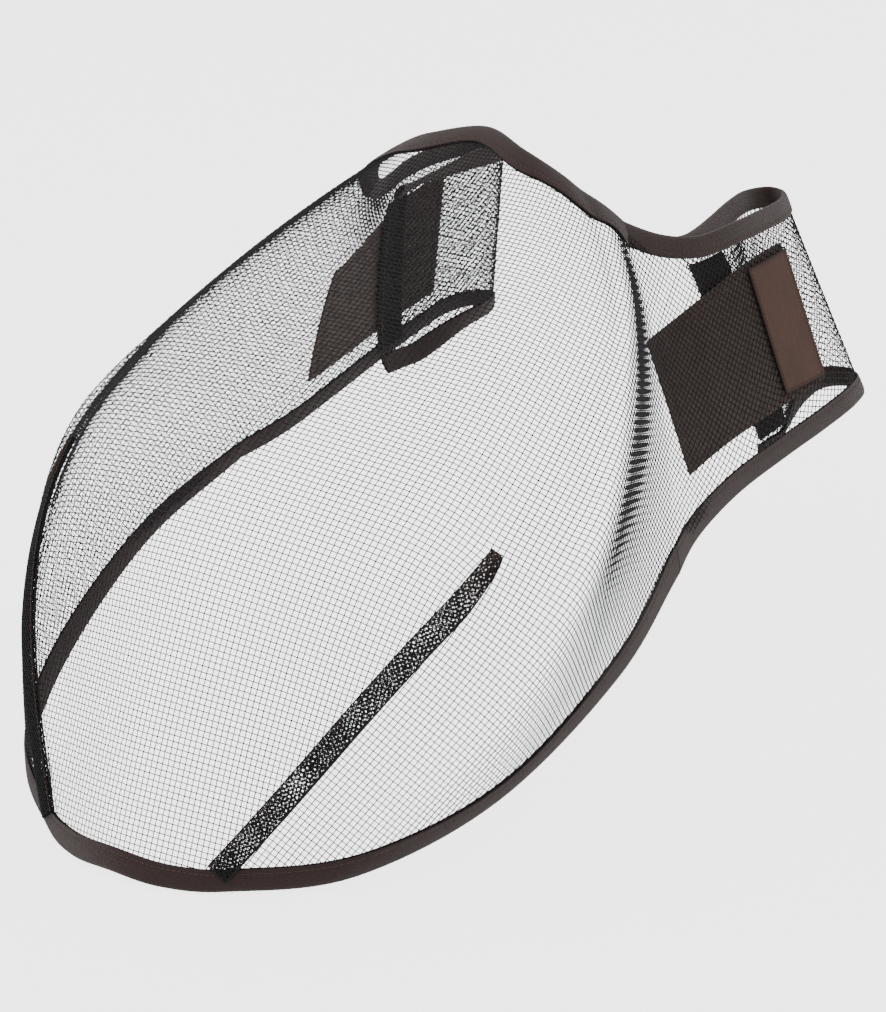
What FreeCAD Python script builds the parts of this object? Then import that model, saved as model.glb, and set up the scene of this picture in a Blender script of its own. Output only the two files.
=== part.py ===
import FreeCAD
import Part
import os

os.makedirs("parts", exist_ok=True)
V = FreeCAD.Vector

# Millimetres.  +Z up, the mask faces -Y, the horse's left is +X, symmetric about X = 0.
# The origin lies midway between the tips of the two eye darts.
MASK_SCALE = 1.0          # whole mask, 1.0 = full size
MESH_THICK = 1.0
BINDING_WIDTH = 9.5
BINDING_THICK = 2.6
DART_WIDTH = 9.0
DART_THICK = 1.8
LOOP_THICK = 1.5
HOOK_THICK = 1.5
HOOK_WIDTH = 20.0
LABEL_THICK = 1.6
STITCH_WIDTH = 0.7
STITCH_THICK = 0.3
HINGE_GAP = 0.45          # each side of the crease where the strap swings
PEEL_GAP = 0.4            # each side of the turn where the strap end peels
SEAM_GAP = 0.3            # between pieces that are sewn together
NAP_SPACE = 1.1            # room for the nap where hook holds loop
FOLD_SPACE = MESH_THICK + LOOP_THICK + HOOK_THICK + 2 * SEAM_GAP + NAP_SPACE  # outer to turned-in mesh

# The cloth over the face: profiles from the lower edge to the top edge,
# from the left strap crease to the middle.  The right half is the mirror image.
CREASE = [(124, 116, -45), (105.33, 128.33, 2), (86.67, 140.67, 49), (68, 153, 96)]
CHEEK_BACK = [(132, 56, -71), (134, 70, -12), (115, 104, 37), (90, 132, 73), (64, 149, 101)]
CHEEK = [(120, -15, -104), (137, -2, -54), (142, 28, 0), (117, 84, 46), (88, 124, 80), (59, 145, 106)]
CHEEK_FRONT = [(90, -72, -124), (121, -36, -60), (132, 4, -8), (120, 62, 38),
               (99, 102, 66), (77, 127, 89), (51, 142, 111)]
DART = [(49, -104, -130), (94, -60, -46), (112, -11, 2), (106, 55, 47),
        (89, 98, 75), (67, 122, 97), (42, 140, 117)]
FRONT = [(24, -117, -130), (61, -77, -57), (80, -35, 13), (76, 20, 51),
         (64, 67, 79), (46, 108, 102), (25, 138, 125)]
MIDDLE = [(0, -121, -128), (0, -95, -60), (0, -64, 4), (0, -21, 42),
          (0, 40, 72), (0, 97, 102), (0, 145, 130)]
PROFILES = [CREASE, CHEEK_BACK, CHEEK, CHEEK_FRONT, DART, FRONT, MIDDLE]
DART_STATION = 4
DART_LEAN = 0.57          # stations that the dart's lower end lies nearer to the middle than its tip
DART_LENGTH = 180.0

# The left strap: its top edge and lower edge from the crease to the turn,
# then the open loop of the turn.
STRAP_TOP = [(68, 153, 96), (78, 169, 88), (86, 186, 85), (91, 208, 87), (92, 230, 88), (90, 250, 88)]
STRAP_LOW = [(124, 116, -45), (117, 142, -38), (115, 178, -29), (117, 217, -22),
             (119, 250, -17), (119, 277, -13)]
TURN_TOP = (83, 263, 88)
TURN_LOW = (114, 293, -12)
LOOP_TOP = [(75, 264, 88), (70, 254, 88), (72, 236, 88)]
LOOP_LOW = [(105, 296, -12), (98, 284, -11), (98, 266, -13)]
HOOK_TOP = (0.45, 0.255)  # share of the outer strap's length, loop side and cut side of the hook strip
HOOK_LOW = (0.655, 0.54)
# Corners of flat pieces as shares of the strap's length and height:
# front top, front low, rear low, rear top.
PATCH_RISE = 0.05         # the loop patch's top edge bows up by this share of the height
PATCH = [(0.03, 0.34), (0.16, 0.80), (0.815, 0.81), (0.785, 0.17)]
LABEL = [(0.54, 0.20), (0.62, 0.76), (0.80, 0.785), (0.77, 0.195)]


def vec(p):
    return V(p[0], p[1], p[2]) * MASK_SCALE


def smooth(points):
    """Fine polyline of a smooth curve through a few points."""
    spans = [(b - a).Length ** 0.5 for a, b in zip(points, points[1:])]
    slopes = [(b - a) * (1.0 / h) for a, b, h in zip(points, points[1:], spans)]
    inner = []
    for i in range(1, len(points) - 1):
        total = spans[i - 1] + spans[i]
        inner.append(slopes[i - 1] * (spans[i] / total) + slopes[i] * (spans[i - 1] / total))
    first = slopes[0] * 1.5 - inner[0] * 0.5
    last = slopes[-1] * 1.5 - inner[-1] * 0.5
    tangents = [first] + inner + [last]
    line = [points[0]]
    for i, h in enumerate(spans):
        for k in range(1, 17):
            w = k / 16.0
            a = points[i] * (2 * w**3 - 3 * w**2 + 1) + tangents[i] * (h * (w**3 - 2 * w**2 + w))
            b = points[i + 1] * (3 * w**2 - 2 * w**3) + tangents[i + 1] * (h * (w**3 - w**2))
            line.append(a + b)
    return line


def length(line):
    return sum((b - a).Length for a, b in zip(line, line[1:]))


def walk(line, distances):
    """Points at increasing distances along a polyline."""
    found = []
    passed = 0.0
    i = 0
    for d in distances:
        while i < len(line) - 2 and passed + (line[i + 1] - line[i]).Length < d:
            passed += (line[i + 1] - line[i]).Length
            i += 1
        step = (line[i + 1] - line[i]).Length
        found.append(line[i] + (line[i + 1] - line[i]) * ((d - passed) / step))
    return found


def shares(first, last, count):
    return [first + (last - first) * k / (count - 1.0) for k in range(count)]


def mirrored(grid):
    return [[V(-p.x, p.y, p.z) for p in row] for row in reversed(grid)]


def across(rows, u):
    """One profile between the given profiles, at station u."""
    i = min(int(u), len(rows) - 2)
    w = u - i
    result = []
    for k in range(len(rows[0])):
        p = rows[i][k]
        q = rows[i + 1][k]
        before = rows[i - 1][k] if i > 0 else p * 2 - q
        after = rows[i + 2][k] if i + 2 < len(rows) else q * 2 - p
        m = (q - before) * 0.5
        n = (after - p) * 0.5
        point = p * (2 * w**3 - 3 * w**2 + 1) + m * (w**3 - 2 * w**2 + w)
        result.append(point + q * (3 * w**2 - 2 * w**3) + n * (w**3 - w**2))
    return result


def sine(a, b):
    return a.cross(b).Length / (a.Length * b.Length)


def normals(grid):
    result = []
    for i in range(len(grid)):
        row = []
        for j in range(len(grid[0])):
            du = grid[min(i + 1, len(grid) - 1)][j] - grid[max(i - 1, 0)][j]
            dv = grid[i][min(j + 1, len(grid[0]) - 1)] - grid[i][max(j - 1, 0)]
            row.append(du.cross(dv).normalize())
        result.append(row)
    return result


def lifted(grid, height):
    return [[p + n * height for p, n in zip(row, ns)] for row, ns in zip(grid, normals(grid))]


def knots(count, degree):
    """Knots and multiplicities of an open curve."""
    inside = count - degree - 1
    return list(range(inside + 2)), [degree + 1] + [1] * inside + [degree + 1]


def surface(grid):
    """Smooth surface whose control points are the grid."""
    degree_u = min(3, len(grid) - 1)
    degree_v = min(3, len(grid[0]) - 1)
    u_knots, u_mults = knots(len(grid), degree_u)
    v_knots, v_mults = knots(len(grid[0]), degree_v)
    result = Part.BSplineSurface()
    result.buildFromPolesMultsKnots(grid, u_mults, v_mults, u_knots, v_knots,
                                    False, False, degree_u, degree_v)
    return result


def sheet(grid, thick, middle=0.0):
    """Closed solid of even thickness whose middle surface stands off the grid."""
    low = surface(lifted(grid, middle - thick / 2.0))
    high = surface(lifted(grid, middle + thick / 2.0))
    u0, u1, v0, v1 = low.bounds()
    sides = [(low.uIso(u), high.uIso(u)) for u in (u0, u1)]
    sides += [(low.vIso(v), high.vIso(v)) for v in (v0, v1)]
    faces = [low.toShape(), high.toShape()]
    faces += [Part.makeRuledSurface(a.toShape(), b.toShape()) for a, b in sides]
    shell = Part.makeShell(faces)
    shell.sewShape()
    shell = shell if shell.ShapeType == "Shell" else shell.Shells[0]
    solid = Part.makeSolid(shell)
    if solid.Volume < 0:
        solid.reverse()
    return solid


def save(name, solids):
    shape = solids[0] if len(solids) == 1 else Part.makeCompound(solids)
    shape.exportStep("parts/" + name + ".step")
    print(name, len(solids), "valid", shape.isValid(), "volume", round(shape.Volume, 1))


def save_pair(name, grids, thick, middle=0.0):
    """One node for the left and its mirror image for the right."""
    save(name + "_left", [sheet(g, thick, middle) for g in grids])
    save(name + "_right", [sheet(mirrored(g), thick, middle) for g in grids])


# ---------------------------------------------------------------- face
half = []
for profile in PROFILES:
    line = smooth([vec(p) for p in profile])
    half.append(walk(line, shares(0.0, length(line), 13)))
whole = half + [[V(-p.x, p.y, p.z) for p in row] for row in reversed(half[:-1])]


def face_line(u):
    return smooth(across(whole, u))


def crease_line(gap):
    """A line of points of the face that runs at a distance beside the crease."""
    steps = [across(whole, u) for u in (0.0, 0.04, 0.1, 0.2, 0.35)]
    hinge = steps[0][-1] - steps[0][0]
    points = []
    for k in range(len(whole[0])):
        path = [step[k] for step in steps]
        points.append(walk(path, [gap / sine(path[1] - path[0], hinge)])[0])
    return points


last_station = len(whole) - 1
stations = shares(0.4, last_station - 0.4, 47)
left_ends = [crease_line(gap) for gap in (HINGE_GAP, HINGE_GAP + 1.0)]
right_ends = [[V(-p.x, p.y, p.z) for p in line] for line in reversed(left_ends)]
face_lines = [smooth(line) for line in left_ends]
face_lines += [face_line(u) for u in stations]
face_lines += [smooth(line) for line in right_ends]
stations = [0.0, 0.1] + stations + [last_station - 0.1, last_station]


def edge_widths(lines, near_start):
    """Length along each line that gives the binding its true width."""
    ends = [line[0] if near_start else line[-1] for line in lines]
    widths = []
    for i, line in enumerate(lines):
        run = ends[min(i + 1, len(ends) - 1)] - ends[max(i - 1, 0)]
        rise = line[6] - line[0] if near_start else line[-7] - line[-1]
        widths.append(BINDING_WIDTH / max(sine(run, rise), 0.45))
    eased = []
    for i in range(len(widths)):
        span = widths[max(i - 2, 0):i + 3]
        eased.append(sum(span) / len(span))
    return eased


def band(lines, widths, near_start, start, stop, count):
    """Grid along an edge between two shares of the binding width."""
    grid = []
    for line, width in zip(lines, widths):
        path = line if near_start else list(reversed(line))
        points = walk(path, shares(start * width, stop * width, count))
        grid.append(points if near_start else list(reversed(points)))
    return grid


def middle_part(lines, low_widths, top_widths, count):
    grid = []
    for line, low, top in zip(lines, low_widths, top_widths):
        total = length(line)
        grid.append(walk(line, shares(low + SEAM_GAP, total - top - SEAM_GAP, count)))
    return grid


low_widths = edge_widths(face_lines, True)
top_widths = edge_widths(face_lines, False)
save("face_mesh", [sheet(middle_part(face_lines, low_widths, top_widths, 15), MESH_THICK)])
save("nose_binding", [sheet(band(face_lines, low_widths, True, 0.0, 1.0, 3), BINDING_THICK)])
save("forehead_binding", [sheet(band(face_lines, top_widths, False, 0.0, 1.0, 3), BINDING_THICK)])

row_height = BINDING_THICK / 2.0 + SEAM_GAP + STITCH_THICK / 2.0
row_start = 0.78
row_stop = row_start + STITCH_WIDTH / BINDING_WIDTH
inner_lines = face_lines[1:-1]
nose_row = band(inner_lines, low_widths[1:-1], True, row_start, row_stop, 3)
save("nose_binding_stitching", [sheet(nose_row, STITCH_THICK, -row_height)])
forehead_row = band(inner_lines, top_widths[1:-1], False, row_start, row_stop, 3)
save("forehead_binding_stitching", [sheet(forehead_row, STITCH_THICK, -row_height)])

# ---------------------------------------------------------------- eye darts
def dart_line(beside):
    """Points from the nose binding to the dart's tip, some stations beside its seam."""
    points = []
    for d in dart_steps:
        lean = DART_LEAN * (1.0 - d / dart_steps[-1])
        points.append(walk(face_line(DART_STATION + lean - beside), [d])[0])
    return points


dart_low = max(w for u, w in zip(stations, low_widths) if abs(u - DART_STATION) < 0.8) + 0.3
dart_steps = shares(dart_low, DART_LENGTH * MASK_SCALE, 15)
dart_side = dart_line(0.1)
dart_grid = []
for i, point in enumerate(dart_line(0.0)):
    taper = 1.0 if i < 12 else (1.0, 0.85, 0.62)[i - 12]
    side = (dart_side[i] - point).normalize() * DART_WIDTH * taper
    dart_grid.append([point, point + side * 0.5, point + side])
tack_steps = dart_grid[11:]
tack_grid = [[row[0] + (row[2] - row[0]) * k for k in (0.35, 0.6, 0.85)] for row in tack_steps]
tack_base = MESH_THICK / 2.0 + SEAM_GAP
dart_middle = tack_base + DART_THICK / 2.0
save_pair("eye_dart", [dart_grid], DART_THICK, -dart_middle)
save_pair("dart_bartack", [tack_grid], 0.6, -(dart_middle + DART_THICK / 2.0 + SEAM_GAP + 0.3))

# ---------------------------------------------------------------- strap
HEIGHTS = shares(0.0, 1.0, 13)


def between(top, low, t):
    return vec(top) * (1.0 - t) + vec(low) * t


def outer_points(t):
    points = [between(a, b, t) for a, b in zip(STRAP_TOP, STRAP_LOW)]
    return points + [between(TURN_TOP, TURN_LOW, t)]


def outer_spot(s, t):
    """Point of the outer strap at a share of its length and height."""
    line = smooth(outer_points(t))
    return walk(line, [s * length(line)])[0]


def outer_normal(s, t):
    along = outer_spot(s + 0.01, t) - outer_spot(s - 0.01, t)
    down = outer_spot(s, min(t + 0.02, 1.0)) - outer_spot(s, max(t - 0.02, 0.0))
    return along.cross(down).normalize()


def hook_spot(k, t):
    """Turned-in cloth lying on the loop patch, k = 0 at the loop, 1 at the cut edge."""
    s_top = HOOK_TOP[0] + (HOOK_TOP[1] - HOOK_TOP[0]) * k
    s_low = HOOK_LOW[0] + (HOOK_LOW[1] - HOOK_LOW[0]) * k
    s = s_top + (s_low - s_top) * t
    away = max(0.0, abs(2.0 * t - 1.0) - 0.66) / 0.34
    space = FOLD_SPACE + (11.0 - 6.0 * k) * away * away
    return outer_spot(s, t) + outer_normal(s, t) * space


def strap_paths():
    """The strap's outer line and turned-in line at every height."""
    outer = []
    inner = []
    for t in HEIGHTS:
        points = outer_points(t)
        count = len(points)
        points += [between(a, b, t) for a, b in zip(LOOP_TOP, LOOP_LOW)]
        points += [hook_spot(k, t) for k in (0.0, 0.5, 1.0)]
        line = smooth(points)
        turn = 16 * (count - 1)
        outer.append(line[:turn + 1])
        inner.append(line[turn:])
    return outer, inner


def columns(paths, gaps, count):
    """Grid of columns from the top edge to the lower edge, closer together at both ends."""
    edge = paths[-1][0] - paths[0][0]
    rows = []
    for line in paths:
        start = gaps[0] / sine(line[2] - line[0], edge)
        stop = length(line) - gaps[1]
        middle = shares(start + 3.0, stop - 3.0, count - 4)
        rows.append(walk(line, [start, start + 1.0] + middle + [stop - 1.0, stop]))
    return [[row[i] for row in rows] for i in range(count)]


outer_paths, inner_paths = strap_paths()
outer_columns = [smooth(c) for c in columns(outer_paths, (HINGE_GAP, PEEL_GAP), 27)]
inner_columns = [smooth(c) for c in columns(inner_paths, (PEEL_GAP, 0.0), 27)]

for name, lines in (("strap", outer_columns), ("strap_end", inner_columns)):
    tops = edge_widths(lines, True)
    lows = edge_widths(lines, False)
    first = 1 if name == "strap" else 0   # room for the corner at the crease's top
    top_band = band(lines[first:], tops[first:], True, 0.0, 1.0, 3)
    low_band = band(lines, lows, False, 0.0, 1.0, 3)
    save_pair(name + "_mesh", [middle_part(lines, tops, lows, 13)], MESH_THICK)
    save_pair(name + "_top_binding", [top_band], BINDING_THICK)
    save_pair(name + "_lower_binding", [low_band], BINDING_THICK)
    rows = [band(lines, tops, True, row_start, row_stop, 3)[1:-1],
            band(lines, lows, False, row_start, row_stop, 3)[1:-1]]
    save_pair(name + "_stitching", rows, STITCH_THICK, -row_height)


def patch_grid(corners, count_s, count_t, rise=0.0):
    """Grid of a four-sided piece lying on the outer strap."""
    grid = []
    for a in shares(0.0, 1.0, count_s):
        row = []
        for b in shares(0.0, 1.0, count_t):
            s = (corners[0][0] * (1 - b) + corners[1][0] * b) * (1 - a)
            s += (corners[3][0] * (1 - b) + corners[2][0] * b) * a
            t = (corners[0][1] * (1 - b) + corners[1][1] * b) * (1 - a)
            t += (corners[3][1] * (1 - b) + corners[2][1] * b) * a
            t -= rise * 4.0 * a * (1 - a) * (1 - b)
            row.append(outer_spot(s, t))
        grid.append(row)
    return grid


loop_middle = MESH_THICK / 2.0 + SEAM_GAP + 0.3 + LOOP_THICK / 2.0
save_pair("loop_patch", [patch_grid(PATCH, 17, 11, PATCH_RISE)], LOOP_THICK, loop_middle)
label = patch_grid(LABEL, 9, 11)
label_middle = -(MESH_THICK / 2.0 + SEAM_GAP + LABEL_THICK / 2.0)
save("leather_label", [sheet(label, LABEL_THICK, label_middle)])


def border_rows(corners, inset_s, inset_t):
    """Four thin strips just inside the border of a four-sided piece."""
    a, b, c, d = corners
    near = [(a[0] + inset_s, a[1] + inset_t), (b[0] + inset_s, b[1] - inset_t)]
    far = [(c[0] - inset_s, c[1] - inset_t), (d[0] - inset_s, d[1] + inset_t)]
    wide_s = 0.006
    wide_t = 0.006
    ring = near + far
    strips = []
    for p, q in zip(ring, ring[1:] + ring[:1]):
        if abs(p[1] - q[1]) > abs(p[0] - q[0]):
            p, q = sorted((p, q), key=lambda spot: spot[1])
            corners = [(p[0], p[1]), (q[0], q[1]), (q[0] + wide_s, q[1]), (p[0] + wide_s, p[1])]
            strips.append(patch_grid(corners, 3, 9))
        else:
            low = p if p[0] < q[0] else q
            high = q if p[0] < q[0] else p
            start = low[0] + 0.02
            stop = high[0] - 0.02
            corners = [(start, low[1]), (start, low[1] + wide_t), (stop, high[1] + wide_t), (stop, high[1])]
            strips.append(patch_grid(corners, 5, 3))
    return strips


label_top = label_middle - LABEL_THICK / 2.0 - SEAM_GAP - STITCH_THICK / 2.0
label_rows = border_rows(LABEL, 0.018, 0.02)
save("label_stitching", [sheet(g, STITCH_THICK, label_top) for g in label_rows])

# ---------------------------------------------------------------- hook strips
hook_grid = []
for k in shares(-0.02, 0.97, 7):
    column = [hook_spot(k, t) for t in shares(0.105, 0.895, 15)]
    hook_grid.append(column)
hook_middle = MESH_THICK / 2.0 + SEAM_GAP + 0.2 + HOOK_THICK / 2.0
save_pair("hook_strip", [hook_grid], HOOK_THICK, hook_middle)
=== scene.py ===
import math
import random

import bmesh
import bpy
import numpy as np
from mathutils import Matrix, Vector


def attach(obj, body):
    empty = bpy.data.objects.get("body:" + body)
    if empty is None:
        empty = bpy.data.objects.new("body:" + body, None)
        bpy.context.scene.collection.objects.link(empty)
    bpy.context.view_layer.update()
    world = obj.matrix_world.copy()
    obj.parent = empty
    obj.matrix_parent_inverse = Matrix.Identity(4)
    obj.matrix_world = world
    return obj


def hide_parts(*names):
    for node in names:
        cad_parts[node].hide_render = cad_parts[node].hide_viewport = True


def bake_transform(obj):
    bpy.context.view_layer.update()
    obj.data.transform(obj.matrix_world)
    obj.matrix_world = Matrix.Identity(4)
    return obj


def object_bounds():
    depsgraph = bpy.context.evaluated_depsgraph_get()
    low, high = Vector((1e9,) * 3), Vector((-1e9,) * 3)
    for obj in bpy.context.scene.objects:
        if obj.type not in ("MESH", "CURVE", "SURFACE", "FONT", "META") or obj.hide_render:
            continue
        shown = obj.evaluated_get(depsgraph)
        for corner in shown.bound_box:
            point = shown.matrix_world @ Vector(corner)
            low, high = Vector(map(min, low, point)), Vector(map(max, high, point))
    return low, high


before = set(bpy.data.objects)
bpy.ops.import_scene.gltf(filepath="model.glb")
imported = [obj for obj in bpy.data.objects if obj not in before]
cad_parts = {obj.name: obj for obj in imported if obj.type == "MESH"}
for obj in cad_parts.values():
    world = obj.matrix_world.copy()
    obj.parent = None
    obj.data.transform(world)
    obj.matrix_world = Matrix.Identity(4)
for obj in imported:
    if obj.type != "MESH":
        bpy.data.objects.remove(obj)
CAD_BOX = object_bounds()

bl_info = {
    "name": "Riding Fly Mask",
    "version": (1, 0, 0),
    "blender": (4, 5, 0),
    "location": "3D View > Sidebar > Fly Mask",
    "description": "Half-face fly mask of open net with bound edges, eye darts and hook-and-loop straps",
    "category": "Add Mesh",
}

# Shape data is in millimetres: +Z up, the mask faces -Y, the horse's left is +X.
MM = 0.001

# Profiles of the cloth over the face, lower edge to top edge, from the left crease to the middle.
CREASE = [(124, 116, -45), (105.33, 128.33, 2), (86.67, 140.67, 49), (68, 153, 96)]
CHEEK_BACK = [(132, 56, -71), (128, 73, -12), (110, 107, 37), (88, 133, 73), (64, 149, 101)]
CHEEK = [(120, -15, -104), (137, -2, -54), (142, 28, 0), (117, 84, 46), (88, 124, 80), (59, 145, 106)]
CHEEK_FRONT = [(90, -72, -124), (121, -36, -60), (132, 4, -8), (120, 62, 38),
               (99, 102, 66), (77, 127, 89), (51, 142, 111)]
DART = [(49, -104, -130), (94, -60, -46), (112, -11, 2), (106, 55, 47),
        (89, 98, 75), (67, 122, 97), (42, 140, 117)]
FRONT = [(24, -117, -130), (61, -77, -57), (80, -35, 13), (76, 20, 51),
         (64, 67, 79), (46, 108, 102), (25, 138, 125)]
MIDDLE = [(0, -121, -128), (0, -95, -60), (0, -64, 4), (0, -21, 42),
          (0, 40, 72), (0, 97, 102), (0, 145, 130)]
PROFILES = [CREASE, CHEEK_BACK, CHEEK, CHEEK_FRONT, DART, FRONT, MIDDLE]
MIDDLE_STATION = 6
DART_STATION = 4
DART_LEAN = 0.57
DART_LENGTH = 180.0

# The left strap from the crease to the turn, then the open loop and the turned-in end.
STRAP_TOP = [(68, 153, 96), (78, 169, 88), (86, 186, 85), (91, 208, 87), (92, 230, 88), (90, 250, 88)]
STRAP_LOW = [(124, 116, -45), (117, 142, -38), (115, 178, -29), (117, 217, -22),
             (119, 250, -17), (119, 277, -13)]
TURN_TOP = (83, 263, 88)
TURN_LOW = (114, 293, -12)
LOOP_TOP = [(75, 264, 88), (70, 254, 88), (72, 236, 88)]
LOOP_LOW = [(105, 296, -12), (98, 284, -11), (98, 266, -13)]
HOOK_TOP = (0.45, 0.255)
HOOK_LOW = (0.655, 0.54)
FOLD_SPACE = 5.0
PATCH = [(0.03, 0.34), (0.16, 0.80), (0.815, 0.81), (0.785, 0.17)]
PATCH_RISE = 0.05
LABEL = [(0.53, 0.20), (0.61, 0.76), (0.80, 0.785), (0.77, 0.195)]


# ------------------------------------------------------------ sizes and colours
class MaskSizes(bpy.types.PropertyGroup):
    """Sizes that a maker would change."""
    yarn_pitch: bpy.props.FloatProperty(
        name="Yarn Pitch", description="Distance between neighbouring yarns of the net, in millimetres",
        default=2.5, min=1.2, max=6.0)
    yarn_radius: bpy.props.FloatProperty(
        name="Yarn Radius", description="Half the thickness of a net yarn, in millimetres",
        default=0.24, min=0.05, max=0.5)
    binding_width: bpy.props.FloatProperty(
        name="Binding Width", description="Width of the folded edge tape, in millimetres",
        default=9.5, min=5.0, max=20.0)
    tape_thickness: bpy.props.FloatProperty(
        name="Tape Thickness", description="Thickness of one layer of the edge tape, in millimetres",
        default=0.5, min=0.2, max=1.0)
    stitch_pitch: bpy.props.FloatProperty(
        name="Stitch Length", description="Distance from one stitch to the next, in millimetres",
        default=2.4, min=1.0, max=6.0)
    dart_width: bpy.props.FloatProperty(
        name="Dart Width", description="Width of the cloth folded over at each eye dart, in millimetres",
        default=10.0, min=3.0, max=15.0)


class MaskColours(bpy.types.PropertyGroup):
    """Colours of the mask's materials."""
    net: bpy.props.FloatVectorProperty(
        name="Net", description="Coated yarn of the net", subtype="COLOR", size=3,
        default=(0.010, 0.009, 0.011), min=0.0, max=1.0)
    binding: bpy.props.FloatVectorProperty(
        name="Binding", description="Edge tape", subtype="COLOR", size=3,
        default=(0.034, 0.015, 0.013), min=0.0, max=1.0)
    thread: bpy.props.FloatVectorProperty(
        name="Thread", description="Sewing thread", subtype="COLOR", size=3,
        default=(0.120, 0.070, 0.058), min=0.0, max=1.0)
    loop: bpy.props.FloatVectorProperty(
        name="Loop Patch", description="Brushed loop fabric", subtype="COLOR", size=3,
        default=(0.100, 0.058, 0.044), min=0.0, max=1.0)
    hook: bpy.props.FloatVectorProperty(
        name="Hook Strip", description="Moulded hook tape", subtype="COLOR", size=3,
        default=(0.020, 0.013, 0.013), min=0.0, max=1.0)
    leather: bpy.props.FloatVectorProperty(
        name="Leather", description="Leather label", subtype="COLOR", size=3,
        default=(0.100, 0.048, 0.032), min=0.0, max=1.0)
    stage: bpy.props.FloatVectorProperty(
        name="Stage", description="Floor of the studio", subtype="COLOR", size=3,
        default=(0.90, 0.90, 0.90), min=0.0, max=1.0)


# ------------------------------------------------------------ curves and grids
def smooth(points):
    """Fine polyline of a smooth curve through a few points."""
    points = np.array(points, float)
    steps = np.diff(points, axis=0)
    spans = np.linalg.norm(steps, axis=1) ** 0.5
    slopes = steps / spans[:, None]
    before = spans[:-1, None]
    after = spans[1:, None]
    inner = (slopes[1:] * before + slopes[:-1] * after) / (before + after)
    first = slopes[0] * 1.5 - inner[0] * 0.5
    last = slopes[-1] * 1.5 - inner[-1] * 0.5
    tangents = np.vstack([first, inner, last])
    w = (np.arange(1, 17) / 16.0)[None, :, None]
    start = points[:-1, None] * (2 * w**3 - 3 * w**2 + 1)
    start = start + tangents[:-1, None] * spans[:, None, None] * (w**3 - 2 * w**2 + w)
    stop = points[1:, None] * (3 * w**2 - 2 * w**3)
    stop = stop + tangents[1:, None] * spans[:, None, None] * (w**3 - w**2)
    return np.vstack([points[:1], (start + stop).reshape(-1, 3)])


def distances(line):
    return np.concatenate([[0.0], np.cumsum(np.linalg.norm(np.diff(line, axis=0), axis=1))])


def walk(line, wanted):
    """Points at distances along a polyline."""
    passed = distances(line)
    return np.stack([np.interp(wanted, passed, line[:, k]) for k in range(3)], axis=1)


def unit(v):
    v = np.array(v, float)
    return v / np.maximum(np.linalg.norm(v, axis=-1, keepdims=True), 1e-12)


def grid_normals(grid):
    """Unit normals of a grid; the negative side is the one seen from outside."""
    return unit(np.cross(np.gradient(grid, axis=0), np.gradient(grid, axis=1)))


half = [walk(smooth(p), np.linspace(0.0, distances(smooth(p))[-1], 13)) for p in PROFILES]
whole = np.array(half + [row * (-1, 1, 1) for row in reversed(half[:-1])])


def face_line(u):
    """Fine line over the face from the lower edge to the top edge, at a station from the left crease."""
    i = min(int(u), len(whole) - 2)
    w = u - i
    p, q = whole[i], whole[i + 1]
    before = whole[i - 1] if i > 0 else p * 2 - q
    after = whole[i + 2] if i + 2 < len(whole) else q * 2 - p
    line = p * (2 * w**3 - 3 * w**2 + 1) + (q - before) * 0.5 * (w**3 - 2 * w**2 + w)
    line = line + q * (3 * w**2 - 2 * w**3) + (after - p) * 0.5 * (w**3 - w**2)
    return smooth(line)


def between(top, low, t):
    return np.array(top, float) * (1.0 - t) + np.array(low, float) * t


def outer_points(t):
    points = [between(a, b, t) for a, b in zip(STRAP_TOP, STRAP_LOW)]
    return points + [between(TURN_TOP, TURN_LOW, t)]


def outer_spot(s, t):
    """Point of the outer strap at a share of its length and height."""
    line = smooth(outer_points(t))
    return walk(line, [s * distances(line)[-1]])[0]


def outer_inward(s, t):
    along = outer_spot(s + 0.01, t) - outer_spot(s - 0.01, t)
    down = outer_spot(s, min(t + 0.02, 1.0)) - outer_spot(s, max(t - 0.02, 0.0))
    return unit(np.cross(along, down))


def hook_spot(k, t):
    """Turned-in cloth that lies on the loop patch, k = 0 at the loop, 1 at the cut edge."""
    s_top = HOOK_TOP[0] + (HOOK_TOP[1] - HOOK_TOP[0]) * k
    s_low = HOOK_LOW[0] + (HOOK_LOW[1] - HOOK_LOW[0]) * k
    s = s_top + (s_low - s_top) * t
    away = max(0.0, abs(2.0 * t - 1.0) - 0.66) / 0.34
    space = FOLD_SPACE + (11.0 - 6.0 * k) * away * away
    return outer_spot(s, t) + outer_inward(s, t) * space


def strap_lines(t):
    """Outer line and turned-in line of the strap at a share of its height."""
    points = outer_points(t)
    turn = 16 * (len(points) - 1)
    points = points + [between(a, b, t) for a, b in zip(LOOP_TOP, LOOP_LOW)]
    points = points + [hook_spot(k, t) for k in (0.0, 0.5, 1.0)]
    line = smooth(points)
    return line[:turn + 1], line[turn:]


# ------------------------------------------------------------ the flat cut of the net
ROWS = 49
SHARES = np.linspace(0.0, 1.0, ROWS)


def face_column(u):
    """Points of one face column from the top edge down; columns near the dart lean with it."""
    near = max(0.0, 1.0 - abs(u - DART_STATION) / (MIDDLE_STATION - DART_STATION))
    points = []
    for share in 1.0 - SHARES:
        total = distances(face_line(u))[-1]
        lean = DART_LEAN * near * max(0.0, 1.0 - share * total / DART_LENGTH)
        line = face_line(u + lean)
        points.append(walk(line, [share * distances(line)[-1]])[0])
    return np.array(points)


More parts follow.
